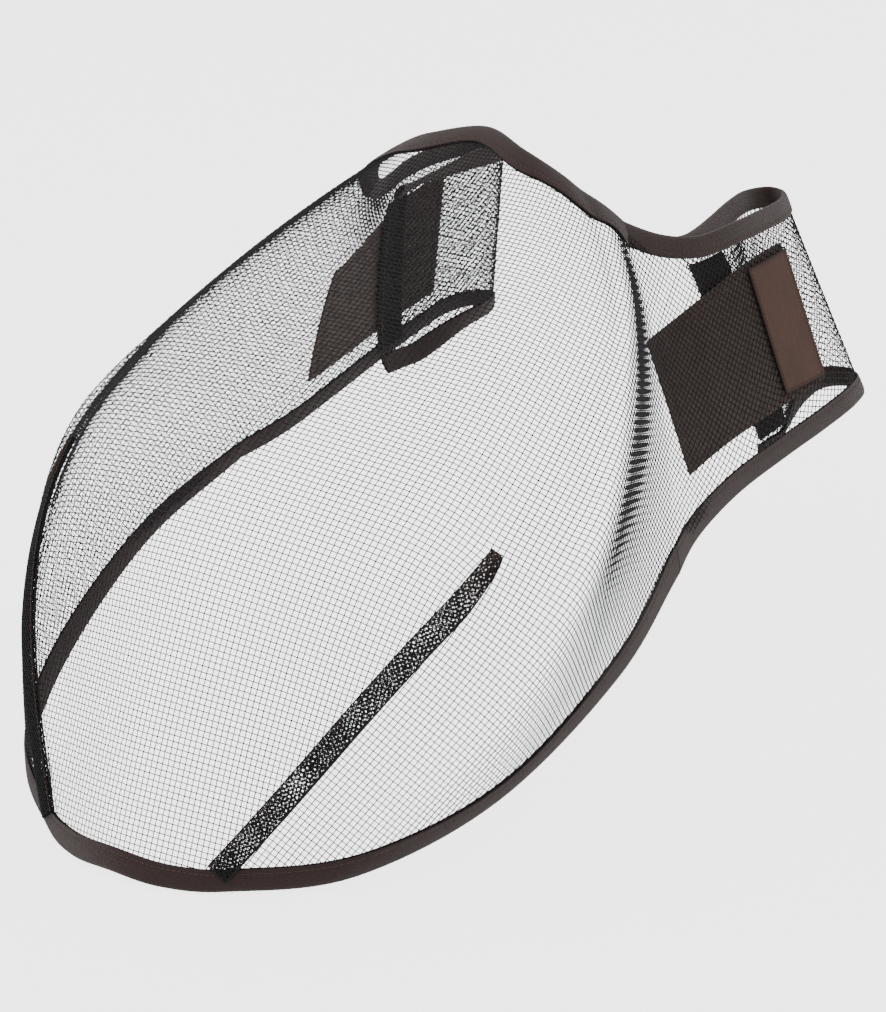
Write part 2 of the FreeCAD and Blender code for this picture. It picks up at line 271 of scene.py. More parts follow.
def cloth_grid():
    """Left half of the whole cloth as columns from the middle to the cut end, with each column's part."""
    columns = [face_column(u) for u in np.linspace(MIDDLE_STATION, DART_STATION, 17)]
    parts = ["centre"] * 17
    side = [face_column(u) for u in np.linspace(DART_STATION, 0.0, 33)]
    lines = [strap_lines(t) for t in SHARES]
    ends = [distances(inner)[-1] for _, inner in lines]
    outer = [walk(line, np.linspace(0.0, distances(line)[-1], 33)[1:]) for line, _ in lines]
    near = np.arange(1.5, 27.0, 1.5)
    inner = [walk(line, np.append(near, np.linspace(30.0, end, 18))) for (_, line), end in zip(lines, ends)]
    crease = len(columns) + 31
    columns += side[1:] + list(np.array(outer).transpose(1, 0, 2)) + list(np.array(inner).transpose(1, 0, 2))
    parts += ["side"] * 32 + ["strap"] * 32 + ["end"] * (len(near) + 18)
    grid = np.array(columns)
    ease = np.clip(1.5 - np.abs(np.arange(len(grid)) - crease) / 8.0, 0.0, 1.0)[1:-1, None, None]
    for _ in range(30):
        back = np.linalg.norm(grid[1:-1] - grid[:-2], axis=2, keepdims=True)
        ahead = np.linalg.norm(grid[2:] - grid[1:-1], axis=2, keepdims=True)
        level = (grid[:-2] * ahead + grid[2:] * back) / (back + ahead)
        grid[1:-1, 2:-2] += ((level - grid[1:-1]) * ease)[:, 2:-2] * 0.8
    return grid, parts


def flattened(points, triangles, start, on_middle):
    """Flat positions of a cloth's points, as true to its lengths as a flat sheet can be."""
    corners = points[triangles]
    e1 = corners[:, 1] - corners[:, 0]
    e2 = corners[:, 2] - corners[:, 0]
    long = np.linalg.norm(e1, axis=1)
    x2 = np.sum(e1 * e2, axis=1) / long
    y2 = np.linalg.norm(np.cross(e1, e2), axis=1) / long
    zero = np.zeros_like(long)
    local = np.stack([np.stack([zero, zero], 1), np.stack([long, zero], 1), np.stack([x2, y2], 1)], 1)
    tails, heads, rests, weights = [], [], [], []
    for a, b, c in ((0, 1, 2), (1, 2, 0), (2, 0, 1)):
        u = local[:, a] - local[:, c]
        v = local[:, b] - local[:, c]
        cotangent = np.sum(u * v, 1) / np.abs(u[:, 0] * v[:, 1] - u[:, 1] * v[:, 0])
        tails.append(triangles[:, a])
        heads.append(triangles[:, b])
        rests.append(local[:, b] - local[:, a])
        weights.append(np.clip(cotangent, 0.05, 10.0))
    tail, head = np.concatenate(tails), np.concatenate(heads)
    rest, weight = np.concatenate(rests), np.concatenate(weights)
    count = len(points)
    which = np.tile(np.arange(len(triangles)), 3)
    held = [on_middle, np.arange(count) == 0]

    def stiffness(value):
        pull = weight * (value[head] - value[tail])
        return np.bincount(tail, -pull, count) + np.bincount(head, pull, count)

    diagonal = np.bincount(tail, weight, count) + np.bincount(head, weight, count)
    flat = start.copy()
    for _ in range(70):
        edge = flat[head] - flat[tail]
        c = np.bincount(which, weight * np.sum(edge * rest, 1), len(triangles))
        s = np.bincount(which, weight * (rest[:, 0] * edge[:, 1] - rest[:, 1] * edge[:, 0]), len(triangles))
        size = np.maximum(np.hypot(c, s), 1e-12)
        c, s = (c / size)[which], (s / size)[which]
        goal = np.stack([c * rest[:, 0] - s * rest[:, 1], s * rest[:, 0] + c * rest[:, 1]], 1)
        for axis in (0, 1):
            pull = weight * goal[:, axis]
            target = np.bincount(head, pull, count) - np.bincount(tail, pull, count)
            value = flat[:, axis]
            error = target - stiffness(value)
            error[held[axis]] = 0.0
            scaled = error / diagonal
            direction = scaled.copy()
            product = error @ scaled
            for _ in range(60):
                turned = stiffness(direction)
                turned[held[axis]] = 0.0
                step = product / max(direction @ turned, 1e-30)
                value = value + direction * step
                error = error - turned * step
                scaled = error / diagonal
                fresh = error @ scaled
                if fresh < 1e-10:
                    break
                direction = scaled + direction * (fresh / product)
                product = fresh
            flat[:, axis] = value
    return flat


def cut_cloth():
    """The left half of the net: points, normals, flat positions, triangles and parts."""
    grid, parts = cloth_grid()
    normals = grid_normals(grid)
    if normals[0, ROWS // 2, 1] > 0:
        normals = -normals
    columns = len(grid)
    index = np.arange(columns * ROWS).reshape(columns, ROWS)
    dart = parts.index("side") - 1
    line = distances(grid[dart][::-1])[::-1]
    slit = [r for r in range(ROWS) if line[r] < DART_LENGTH]
    extra = np.arange(len(slit)) + columns * ROWS
    points = np.vstack([grid.reshape(-1, 3), grid[dart, slit]])
    normal = np.vstack([normals.reshape(-1, 3), normals[dart, slit]])
    across = np.array([np.concatenate([[0.0], np.cumsum(np.linalg.norm(
        np.diff(grid[:, r], axis=0), axis=1))]) for r in range(ROWS)]).T
    down = np.array([distances(column) for column in grid])
    edge = np.minimum(down, down[:, -1:] - down)
    start = np.stack([across, down - down[:, ROWS // 2][:, None]], axis=2)
    start = np.vstack([start.reshape(-1, 2), start[dart, slit]])
    edge = np.concatenate([edge.ravel(), edge[dart, slit]])
    right = index.copy()
    right[dart, slit] = extra
    triangles, owners = [], []
    for i in range(columns - 1):
        left = right if i == dart else index
        for r in range(ROWS - 1):
            a, b, c, d = left[i, r], index[i + 1, r], index[i + 1, r + 1], left[i, r + 1]
            pair = ((a, b, c), (a, c, d)) if (i + r) % 2 else ((a, b, d), (b, c, d))
            triangles += pair
            owners += [parts[i + 1]] * 2
    triangles = np.array(triangles)
    on_middle = np.zeros(len(points), bool)
    on_middle[index[0]] = True
    flat = flattened(points, triangles, start, on_middle)
    return points, normal, edge, flat, triangles, np.array(owners)


def spots_in(flat, triangles, step):
    """Every lattice point inside the flat triangles: its whole numbers, triangle and corner shares."""
    corner = flat[triangles]
    step = np.array(step)
    low = np.ceil(corner.min(1) / step - 1e-9).astype(int)
    high = np.floor(corner.max(1) / step + 1e-9).astype(int)
    span = np.maximum((high - low).max(0) + 1, 1)
    a, b = np.meshgrid(np.arange(span[0]), np.arange(span[1]), indexing="ij")
    spot = low[:, None, :] + np.stack([a.ravel(), b.ravel()], 1)[None]
    offset = spot * step - corner[:, None, 0]
    u = (corner[:, 1] - corner[:, 0])[:, None]
    v = (corner[:, 2] - corner[:, 0])[:, None]
    size = u[..., 0] * v[..., 1] - u[..., 1] * v[..., 0]
    p = (offset[..., 0] * v[..., 1] - offset[..., 1] * v[..., 0]) / size
    q = (u[..., 0] * offset[..., 1] - u[..., 1] * offset[..., 0]) / size
    inside = (p >= -1e-6) & (q >= -1e-6) & (p + q <= 1 + 1e-6)
    triangle = np.broadcast_to(np.arange(len(triangles))[:, None], inside.shape)[inside]
    shares = np.stack([1 - p - q, p, q], 2)[inside]
    found, first = np.unique(spot[inside], axis=0, return_index=True)
    return found, triangle[first], shares[first]


def yarns(points, normals, flat, triangles, owners, pitch, rise, margin=None, edge=None):
    """Woven yarns over a cloth as lists of points for each part; they pass over and under in turn."""
    runs = {owner: [] for owner in sorted(set(owners))}
    fine = 4
    for axis in (0, 1):
        step = [pitch, pitch]
        step[1 - axis] = pitch / fine
        found, triangle, shares = spots_in(flat, triangles, step)
        corner = triangles[triangle]
        place = np.einsum("ij,ijk->ik", shares, points[corner])
        normal = unit(np.einsum("ij,ijk->ik", shares, normals[corner]))
        line, along = found[:, axis], found[:, 1 - axis]
        keep = np.ones(len(line), bool)
        if edge is not None:
            keep = np.sum(shares * edge[corner], 1) > margin
        sign = np.where(line % 2 == 0, 1.0, -1.0) * (1.0 if axis == 0 else -1.0)
        place = place + normal * (sign * np.cos(np.pi * along / fine) * rise)[:, None]
        order = np.lexsort((along, line))
        run, last = [], None
        for n in order[keep[order]]:
            same = last is not None and line[n] == line[last] and along[n] == along[last] + 1
            if not same:
                run = []
            elif owners[triangle[n]] != owners[triangle[last]]:
                run = [last]
            if not run or (same and len(run) == 1 and run[0] == last):
                if not run:
                    run = [n]
                else:
                    run = [last, n]
                runs[owners[triangle[n]]].append(run)
            else:
                run.append(n)
            last = n
        for owner in runs:
            runs[owner] = [r if isinstance(r, np.ndarray) else
                           place[[n for k, n in enumerate(r)
                                  if k in (0, len(r) - 1) or along[n] % fine == 0]]
                           for r in runs[owner]]
    return {owner: [r for r in lines if len(r) > 1] for owner, lines in runs.items()}


# ------------------------------------------------------------ making objects
def mirrored(lines):
    return [line * np.array((-1.0, 1.0, 1.0)) for line in lines]


def linked(name, mesh, material):
    piece = bpy.data.objects.new(name.replace(" ", "_").lower(), mesh)
    bpy.context.scene.collection.objects.link(piece)
    mesh.materials.clear()
    mesh.materials.append(material)
    return piece


def settled(piece):
    """Gives the piece the mesh that its curve or modifiers make."""
    bpy.context.view_layer.update()
    result = piece.evaluated_get(bpy.context.evaluated_depsgraph_get())
    mesh = bpy.data.meshes.new_from_object(result)
    mesh.name = piece.name
    for polygon in mesh.polygons:
        polygon.use_smooth = True
    name = piece.name
    material = piece.data.materials[0]
    bpy.data.objects.remove(piece)
    return linked(name, mesh, material)


def threads(name, lines, radius, material):
    """Four-sided threads along lists of points."""
    curve = bpy.data.curves.new(name, "CURVE")
    curve.dimensions = "3D"
    curve.bevel_depth = radius * MM
    curve.bevel_resolution = 0
    curve.use_fill_caps = True
    for line in lines:
        spline = curve.splines.new("POLY")
        spline.points.add(len(line) - 1)
        values = np.ones((len(line), 4))
        values[:, :3] = np.asarray(line) * MM
        spline.points.foreach_set("co", values.ravel())
    return settled(linked(name, curve, material))


def laid(name, grid, material, thick=0.0, round_edge=0.0):
    """A sheet laid on a grid of points, with its lengths as UVs, then thickened."""
    rows, columns = grid.shape[:2]
    u = np.cumsum(np.concatenate([[0.0], np.linalg.norm(np.diff(grid[:, columns // 2], axis=0), axis=1)]))
    v = np.cumsum(np.concatenate([[0.0], np.linalg.norm(np.diff(grid[rows // 2], axis=0), axis=1)]))
    bm = bmesh.new()
    bmesh.ops.create_grid(bm, x_segments=rows - 1, y_segments=columns - 1, size=1.0)
    layer = bm.loops.layers.uv.new("UVMap")
    spot = {}
    for vert in bm.verts:
        i = round((vert.co.x + 1.0) * 0.5 * (rows - 1))
        j = round((vert.co.y + 1.0) * 0.5 * (columns - 1))
        spot[vert] = (i, j)
    for vert, (i, j) in spot.items():
        vert.co = Vector(grid[i, j] * MM)
    for face in bm.faces:
        face.smooth = True
        for loop in face.loops:
            i, j = spot[loop.vert]
            loop[layer].uv = (u[i] * MM, v[j] * MM)
    mesh = bpy.data.meshes.new(name)
    bm.to_mesh(mesh)
    bm.free()
    piece = linked(name, mesh, material)
    if thick:
        solid = piece.modifiers.new("Thickness", "SOLIDIFY")
        solid.thickness = thick * MM
        solid.offset = 0.0
        solid.use_even_offset = True
        if round_edge:
            bevel = piece.modifiers.new("Rounded edge", "BEVEL")
            bevel.width = round_edge * MM
            bevel.segments = 3
            bevel.limit_method = "ANGLE"
            bevel.angle_limit = math.radians(50)
        piece = settled(piece)
    return piece


def interpolated(grid, places, wanted):
    """Columns of a grid at other places across it."""
    result = []
    for d in wanted:
        k = int(np.clip(np.searchsorted(places, d) - 1, 0, len(places) - 2))
        w = (d - places[k]) / (places[k + 1] - places[k])
        result.append(grid[:, k] * (1 - w) + grid[:, k + 1] * w)
    return np.array(result).transpose(1, 0, 2)


# ------------------------------------------------------------ materials
class Link:
    """An output socket in arithmetic; each expression adds its Math nodes."""

    def __init__(self, finish, socket):
        self.finish = finish
        self.socket = socket

    def maths(self, operation, *values):
        return self.finish.node("ShaderNodeMath", {"operation": operation}, dict(enumerate(values)))

    def __add__(self, other):
        return self.maths("ADD", self, other)

    def __sub__(self, other):
        return self.maths("SUBTRACT", self, other)

    def __mul__(self, other):
        return self.maths("MULTIPLY", self, other)

    __radd__ = __add__
    __rmul__ = __mul__


class Finish:
    """One material's nodes."""

    def __init__(self, name):
        self.material = bpy.data.materials.new(name)
        self.material.use_nodes = True
        self.tree = self.material.node_tree
        self.tree.nodes.clear()

    def node(self, kind, settings=None, sockets=None, output=0):
        """Adds a node, sets it, and fills or links its sockets."""
        node = self.tree.nodes.new(kind)
        for key, value in (settings or {}).items():
            if key == "stops":
                while len(node.color_ramp.elements) < len(value):
                    node.color_ramp.elements.new(0.5)
                for element, (position, grey) in zip(node.color_ramp.elements, value):
                    element.position = position
                    element.color = (grey, grey, grey, 1.0)
            else:
                setattr(node, key, value)
        for key, value in (sockets or {}).items():
            if isinstance(value, Link):
                self.tree.links.new(value.socket, node.inputs[key])
            else:
                node.inputs[key].default_value = value
        return Link(self, node.outputs[output]) if len(node.outputs) else None

    def noise(self, scale, detail=3.0, roughness=0.55, vector=None):
        vector = vector or self.place()
        return self.node("ShaderNodeTexNoise", None, {
            "Vector": vector, "Scale": scale, "Detail": detail, "Roughness": roughness})

    def place(self):
        return self.node("ShaderNodeTexCoord", None, None, "Object")

    def cloth(self):
        """Lengths along and across the piece."""
        uv = self.node("ShaderNodeTexCoord", None, None, "UV")
        split = self.node("ShaderNodeSeparateXYZ", None, {"Vector": uv})
        return uv, split, Link(self, split.socket.node.outputs[1])

    def ramp(self, value, *stops):
        return self.node("ShaderNodeValToRGB", {"stops": stops}, {"Fac": value})

    def mix(self, share, first, second):
        return self.node("ShaderNodeMix", {"data_type": "RGBA"}, {0: share, 6: first, 7: second}, 2)

    def bump(self, height, distance, strength=1.0):
        return self.node("ShaderNodeBump", None, {
            "Height": height, "Distance": distance, "Strength": strength})

    def surface(self, colour, roughness, normal=None, **fixed):
        sockets = {"Base Color": colour, "Roughness": roughness}
        sockets.update({key.replace("_", " "): value for key, value in fixed.items()})
        if normal:
            sockets["Normal"] = normal
        shader = self.node("ShaderNodeBsdfPrincipled", None, sockets)
        self.node("ShaderNodeOutputMaterial", None, {"Surface": shader})
        return self.material


def tone(colour, factor):
    return tuple(min(c * factor, 1.0) for c in colour) + (1.0,)


def net_finish(colour):
    """Coated yarn: nearly black, softly shining, dusty in places."""
    f = Finish("Coated net yarn")
    dust = f.ramp(f.noise(38.0), (0.35, 0.0), (0.75, 1.0))
    grain = f.noise(2600.0, 2.0)
    base = f.mix(dust * 0.5 + grain * 0.3, tone(colour, 0.75), tone(colour, 1.8))
    return f.surface(base, 0.42 + grain * 0.18, f.bump(grain, 0.00006), Specular_IOR_Level=0.5)


def tape_finish(colour):
    """Matt woven tape with fine ribs across and a slub of lighter fibres."""
    f = Finish("Woven edge tape")
    uv = f.cloth()[0]
    ribs, weft = [f.node("ShaderNodeTexWave", {"bands_direction": way},
                         {"Vector": uv, "Scale": scale, "Distortion": 1.5})
                  for way, scale in (("X", 520.0), ("Y", 420.0))]
    weave = ribs * 0.6 + weft * 0.4
    slub = f.noise(900.0, 4.0)
    wear = f.ramp(f.noise(24.0, 2.0), (0.4, 0.0), (0.7, 1.0))
    base = f.mix(weave * 0.45 + slub * 0.35 + wear * 0.2, tone(colour, 0.6), tone(colour, 1.9))
    return f.surface(base, 0.82 + slub * 0.12, f.bump(weave + slub * 0.7, 0.00022),
                     Sheen_Weight=0.35, Sheen_Roughness=0.5)


def thread_finish(colour):
    f = Finish("Sewing thread")
    twist = f.noise(3200.0, 2.0)
    base = f.mix(twist, tone(colour, 0.6), tone(colour, 1.5))
    return f.surface(base, 0.5 + twist * 0.2, f.bump(twist, 0.00008))


def loop_finish(colour):
    """Brushed loop fabric: soft, uneven, slightly lighter at the tips."""
    f = Finish("Brushed loop fabric")
    tufts = f.noise(1500.0, 4.0, 0.7)
    nap = f.noise(90.0, 3.0)
    base = f.mix(tufts * 0.6 + nap * 0.4, tone(colour, 0.45), tone(colour, 1.7))
    return f.surface(base, 0.9 + nap * 0.05, f.bump(tufts, 0.0006), Sheen_Weight=0.5, Sheen_Roughness=0.4)


def hook_finish(colour):
    f = Finish("Moulded hook tape")
    grain = f.noise(1800.0, 3.0)
    base = f.mix(grain, tone(colour, 0.7), tone(colour, 1.5))
    return f.surface(base, 0.45 + grain * 0.25, f.bump(grain, 0.0002))


def leather_finish(colour, width, height):
    """Oiled leather: pores and wrinkles, darker worn edge."""
    f = Finish("Brown leather")
    _, along, across = f.cloth()
    side = (along - width / 2).maths("ABSOLUTE", along - width / 2) * (2 / width)
    ends = (across - height / 2).maths("ABSOLUTE", across - height / 2) * (2 / height)
    rim = f.ramp(side.maths("MAXIMUM", side, ends), (0.93, 0.0), (1.0, 1.0))
    pores = f.node("ShaderNodeTexVoronoi", {"feature": "F1"}, {"Vector": f.place(), "Scale": 1400.0})
    wrinkle = f.noise(260.0, 5.0, 0.65)
    cloud = f.noise(55.0, 3.0)
    base = f.mix(cloud * 0.6 + wrinkle * 0.4, tone(colour, 0.62), tone(colour, 1.45))
    base = f.mix(rim, base, tone(colour, 0.22))
    return f.surface(base, 0.5 + wrinkle * 0.25, f.bump(pores * 0.6 + wrinkle, 0.00035), Coat_Weight=0.08,
                     Coat_Roughness=0.4)


# ------------------------------------------------------------ joining to the frame
HINGE_LINE = unit(np.array(STRAP_TOP[0]) - np.array(STRAP_LOW[0]))
TURN_LINE = unit(np.array(TURN_LOW, float) - np.array(TURN_TOP, float))
SIDES = {"left": 1.0, "right": -1.0}
BEND_REACH = 16.0         # length of cloth from a joint given for a bend; no bend is made with it


def square_to(direction, line):
    direction = np.array(direction, float)
    return unit(direction - line * (direction @ line))


def across_joint(piece, start, direction, side, reach=BEND_REACH):
    flip = np.array((SIDES[side], 1.0, 1.0)) * MM
    Vector((start + direction * reach) * flip)
    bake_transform(piece)


def follow(piece, part, side):
    """Puts a face piece on the face body; for a strap or strap end it finds the joint and the direction away
    from it, then only bakes the piece's placement into its mesh.
    """
    if part == "strap":
        start = (np.array(STRAP_TOP[0], float) + np.array(STRAP_LOW[0])) / 2
        away = square_to((0.1, 1.0, 0.0), HINGE_LINE)
        across_joint(piece, start, away, side)
    elif part == "end":
        start = (np.array(TURN_TOP, float) + np.array(TURN_LOW)) / 2
        away = square_to((-0.45, -0.89, 0.0), TURN_LINE)
        across_joint(piece, start, away, side)
    else:
        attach(piece, "face")
    return piece


def finished(piece, part, side, slot, *nodes):
    follow(piece, part, side)
    if nodes:
        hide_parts(*nodes)
    return piece


def sizes():
    return bpy.context.scene.mask_sizes


def colours():
    return bpy.context.scene.mask_colours


# ------------------------------------------------------------ edge tape
class Edge:
    """A strip of cloth along one edge: points across it at known distances, and its outward normals."""

    def __init__(self, lines, near_start):
        width = sizes().binding_width
        lines = [line if near_start else line[::-1] for line in lines]
        ends = np.array([line[0] for line in lines])
        run = unit(np.gradient(ends, axis=0))
        rise = unit(np.array([line[6] - line[0] for line in lines]))
        sine = np.maximum(np.linalg.norm(np.cross(run, rise), axis=1), 0.45)
        stretch = np.convolve(np.pad(1.0 / sine, 2, mode="edge"), np.ones(5) / 5, "valid")
        self.places = np.linspace(0.0, width, 8)
        grid = np.array([walk(line, self.places * k) for line, k in zip(lines, stretch)])
        length = distances(grid[:, 0])
        count = max(int(length[-1] / (sizes().stitch_pitch / 2)), 8)
        even = np.linspace(0.0, length[-1], count)
        self.grid = np.stack([np.stack([np.interp(even, length, grid[:, k, c]) for c in range(3)], 1)
                              for k in range(8)], 1)
        normals = grid_normals(self.grid)
        self.normals = -normals if near_start else normals
        self.along = even

    def at(self, depth, height):
        """Points at a depth from the edge and a height above the cloth's middle."""
        spot = interpolated(self.grid, self.places, [depth])[:, 0]
        normal = unit(interpolated(self.normals, self.places, [depth])[:, 0])
        return spot + normal * np.reshape(height, (-1, 1))


STITCH_PLACE = 0.80       # share of the tape's width at its inner row of stitches


def tape(name, edge, material):
    """Tape folded over the edge; it draws in a little at every stitch of the inner row."""
    width = sizes().binding_width
    row = width * STITCH_PLACE
    section = [(width, 0.62), (width * 0.96, 0.82), (row + 0.7, 0.86), (row, 0.80), (row - 0.9, 0.96),
               (width * 0.5, 1.06), (width * 0.3, 1.08), (width * 0.14, 0.98), (width * 0.05, 0.72),
               (0.0, 0.30)]
    section = section + [(d, -h) for d, h in reversed(section)]
    puck = np.cos(np.pi * np.arange(len(edge.along)))
    columns = []
    for depth, height in section:
        near_row = math.exp(-((depth - row) / 1.4) ** 2)
        ripple = 0.05 + 0.11 * near_row
        columns.append(edge.at(depth, height + math.copysign(1.0, height) * ripple * puck))
    grid = np.array(columns).transpose(1, 0, 2)
    return laid(name, grid, material, sizes().tape_thickness, 0.12)


def dashes(path, lift, pitch, share=0.68):
    """Short stitches along a path, whose ends dip into the cloth."""
    length = distances(path)
    result = []
    for k in range(int(length[-1] / pitch)):
        start = k * pitch + pitch * (1 - share) / 2
        span = np.array([0.0, 0.18, 0.5, 0.82, 1.0]) * pitch * share + start
        points = np.stack([np.interp(span, length, path[:, c]) for c in range(3)], 1)
        up = np.stack([np.interp(span, length, lift[:, c]) for c in range(3)], 1)
        result.append(points + unit(up) * np.array([-0.14, 0.08, 0.14, 0.08, -0.14])[:, None])
    return result


def edge_stitches(edge):
    depth = sizes().binding_width * STITCH_PLACE
    outside = edge.at(depth, np.full(len(edge.along), 1.08))
    inside = edge.at(depth, np.full(len(edge.along), -1.08))
    lift = outside - inside
    return dashes(outside, lift, sizes().stitch_pitch) + dashes(inside, -lift, sizes().stitch_pitch)


def face_edge_lines():
    return [face_line(u) for u in np.linspace(0.0, 2 * MIDDLE_STATION, 121)]


def strap_edge_lines():
    """Columns of the outer strap and of the turned-in end, from the top edge down."""
    lines = [strap_lines(t) for t in np.linspace(0.0, 1.0, 25)]
    outer = np.array([walk(a, np.linspace(0.0, distances(a)[-1], 61)) for a, _ in lines]).transpose(1, 0, 2)
    inner = np.array([walk(b, np.linspace(0.0, distances(b)[-1], 61)) for _, b in lines]).transpose(1, 0, 2)
    return {"strap": [smooth(c) for c in outer], "strap_end": [smooth(c) for c in inner]}


# ------------------------------------------------------------ operators
class MaskOperator:
    bl_options = {"REGISTER", "UNDO"}

    def execute(self, context):
        self.make(context)
        return {"FINISHED"}


def least_rectangle(outline):
    """Width and length of the smallest rectangle that a flat piece is cut from."""
    best = None
    for turn in np.radians(np.arange(0, 90, 2)):
        turned = outline @ np.array([[math.cos(turn), -math.sin(turn)], [math.sin(turn), math.cos(turn)]])
        size = turned.max(0) - turned.min(0)
        if best is None or size[0] * size[1] < best[0] * best[1]:
            best = size
    return best


class FLYMASK_OT_net(MaskOperator, bpy.types.Operator):
    """Weave the net over the face, the straps and their turned-in ends"""
    bl_idname = "flymask.net"
    bl_label = "Net"

    def make(self, context):
        material = net_finish(colours().net)
        pitch = sizes().yarn_pitch
        radius = sizes().yarn_radius
        points, normals, edge, flat, triangles, owners = cut_cloth()
        runs = yarns(points, normals, flat, triangles, owners, pitch, radius * 0.8, 3.0, edge)
        plan = [("Net over the nose and brow", "centre", "both", "face_mesh"),
                ("Net over the left cheek", "side", "left", None),
                ("Net over the right cheek", "side", "right", None),
                ("Left strap net", "strap", "left", "strap_mesh_left"),
                ("Right strap net", "strap", "right", "strap_mesh_right"),
                ("Left strap end net", "end", "left", "strap_end_mesh_left"),
                ("Right strap end net", "end", "right", "strap_end_mesh_right")]
        for name, part, side, node in plan:
            lines = runs[part]
            if side == "right":
                lines = mirrored(lines)
            elif side == "both":
                lines = lines + mirrored(lines)
            piece = threads(name, lines, radius, material)
            finished(piece, part, side, "mesh", *([node] if node else []))
            chosen = triangles[owners == part]
            corner = flat[chosen]
            u, v = corner[:, 1] - corner[:, 0], corner[:, 2] - corner[:, 0]
            area = np.abs(u[:, 0] * v[:, 1] - u[:, 1] * v[:, 0]).sum() / 2 * MM * MM
            outline = corner.reshape(-1, 2)
            if side == "both":
                area, outline = area * 2, np.vstack([outline, outline * (-1, 1)])
            spread = least_rectangle(outline) * MM
            print("net", name, "flat", spread.round(4), "area", round(area, 5),
                  "faces", len(piece.data.polygons))


class FLYMASK_OT_bindings(MaskOperator, bpy.types.Operator):
    """Fold and sew the tape along every edge"""
    bl_idname = "flymask.bindings"
    bl_label = "Edge bindings"

    def make(self, context):
        material = tape_finish(colours().binding)
        thread = thread_finish(colours().thread)
        face = face_edge_lines()
        for name, label, near_start in (("nose_binding", "Nose binding", True),
                                        ("forehead_binding", "Forehead binding", False)):
            edge = Edge(face, near_start)
            piece = finished(tape(label, edge, material), "face", "left", "binding", name)
            rows = threads(label + " stitches", edge_stitches(edge), 0.2, thread)
            finished(rows, "face", "left", "thread", name + "_stitching")
            label + " stitches"
        lines = strap_edge_lines()
        for part, columns in lines.items():
            edges = {"top": Edge(columns, True), "lower": Edge(columns, False)}
            for side in SIDES:
                flip = np.array((SIDES[side], 1.0, 1.0))
                stitches = []
                title = side.capitalize() + " " + part.replace("_", " ")
                for where, edge in edges.items():
                    turned = Edge.__new__(Edge)
                    turned.places, turned.along = edge.places, edge.along
                    turned.grid, turned.normals = edge.grid * flip, edge.normals * flip
                    label = f"{title} {where} binding"
                    piece = finished(tape(label, turned, material), part.replace("strap_end", "end"), side,
                                     "binding", f"{part}_{where}_binding_{side}")
                    stitches += edge_stitches(turned)
                rows = threads(title + " stitches", stitches, 0.2, thread)
                finished(rows, part.replace("strap_end", "end"), side, "thread", f"{part}_stitching_{side}")
                title + " stitches"


FOLD_CROWDING = 0.62      # the folded net is gathered, so its yarns stand closer


class FLYMASK_OT_darts(MaskOperator, bpy.types.Operator):
    """Fold, sew and tack the two eye darts"""
    bl_idname = "flymask.darts"
    bl_label = "Eye darts"

    def make(self, context):
        material = net_finish(colours().net)
        thread = thread_finish(colours().thread)
        steps = np.linspace(14.5, DART_LENGTH, 48)

        def seam_line(beside):
            lean = DART_LEAN * (1.0 - steps / DART_LENGTH)
            return np.array([walk(face_line(DART_STATION + k - beside), [d])[0] for k, d in zip(lean, steps)])

        base = seam_line(0.0)
        beside = unit(seam_line(0.1) - base)
        along = unit(np.gradient(base, axis=0))
        beside = unit(beside - along * np.sum(beside * along, 1)[:, None])
        outward = unit(np.cross(beside, along))
        if outward[20, 0] < 0:
            outward = -outward
        taper = np.clip((steps[-1] - steps) / 26.0, 0.0, 1.0) ** 0.6 * 0.45 + 0.55
        width = sizes().dart_width
        places = np.linspace(0.0, 1.0, 7)

        def spot(k, height):
            bulge = height + 0.35 * math.sin(math.pi * k)
            return base + beside * (width * k * taper)[:, None] + outward * bulge

        lines = []
        for height, angle in ((0.75, 28.0), (1.25, -28.0), (1.75, 31.0), (2.2, -25.0)):
            grid = np.array([spot(k, height) for k in places]).transpose(1, 0, 2)
            rows, columns = grid.shape[:2]
            index = np.arange(rows * columns).reshape(rows, columns)
            s, c = np.meshgrid(steps, places * width, indexing="ij")
            turn = math.radians(angle)
            flat = np.stack([s * math.cos(turn) - c * math.sin(turn),
                             s * math.sin(turn) + c * math.cos(turn)], 2)
            triangles = []
            for i in range(rows - 1):
                for j in range(columns - 1):
                    a, b, d, e = index[i, j], index[i + 1, j], index[i + 1, j + 1], index[i, j + 1]
                    triangles += [(a, b, d), (a, d, e)]
            normals = np.repeat(outward[:, None], columns, 1).reshape(-1, 3)
            found = yarns(grid.reshape(-1, 3), normals, flat.reshape(-1, 2), np.array(triangles),
                          np.array(["dart"] * len(triangles)), sizes().yarn_pitch * FOLD_CROWDING,
                          sizes().yarn_radius * 0.8)
            lines += found["dart"]
        lines += [spot(1.0, 0.9), spot(1.0, 1.9), spot(0.97, 2.3), spot(0.0, 0.8), spot(0.0, 1.2)]
        seam = dashes(spot(0.1, 2.35), outward, sizes().stitch_pitch)
        inner_seam = dashes(spot(0.02, -0.35), -outward, sizes().stitch_pitch)
        tack = []
        stop = steps[-1]
        for n in range(46):
            k = 0.2 if n % 2 else 0.92
            place = stop - 20.0 + n * 0.42
            row = np.interp(place, steps, np.arange(len(steps)))
            i = min(int(row), len(steps) - 2)
            w = row - i
            line = spot(k, 2.85)
            tack.append(line[i] * (1 - w) + line[i + 1] * w)
        for side in SIDES:
            flip = np.array((SIDES[side], 1.0, 1.0))
            title = side.capitalize() + " eye dart"
            fold = threads(title, [line * flip for line in lines], sizes().yarn_radius, material)
            finished(fold, "face", side, "dart_fold", f"eye_dart_{side}")
            rows = threads(title + " seam stitches", [line * flip for line in seam + inner_seam], 0.2, thread)
            finished(rows, "face", side, "thread")
            bar = threads(title + " bartack", [np.array(tack) * flip], 0.3, thread)
            finished(bar, "face", side, "thread", f"dart_bartack_{side}")


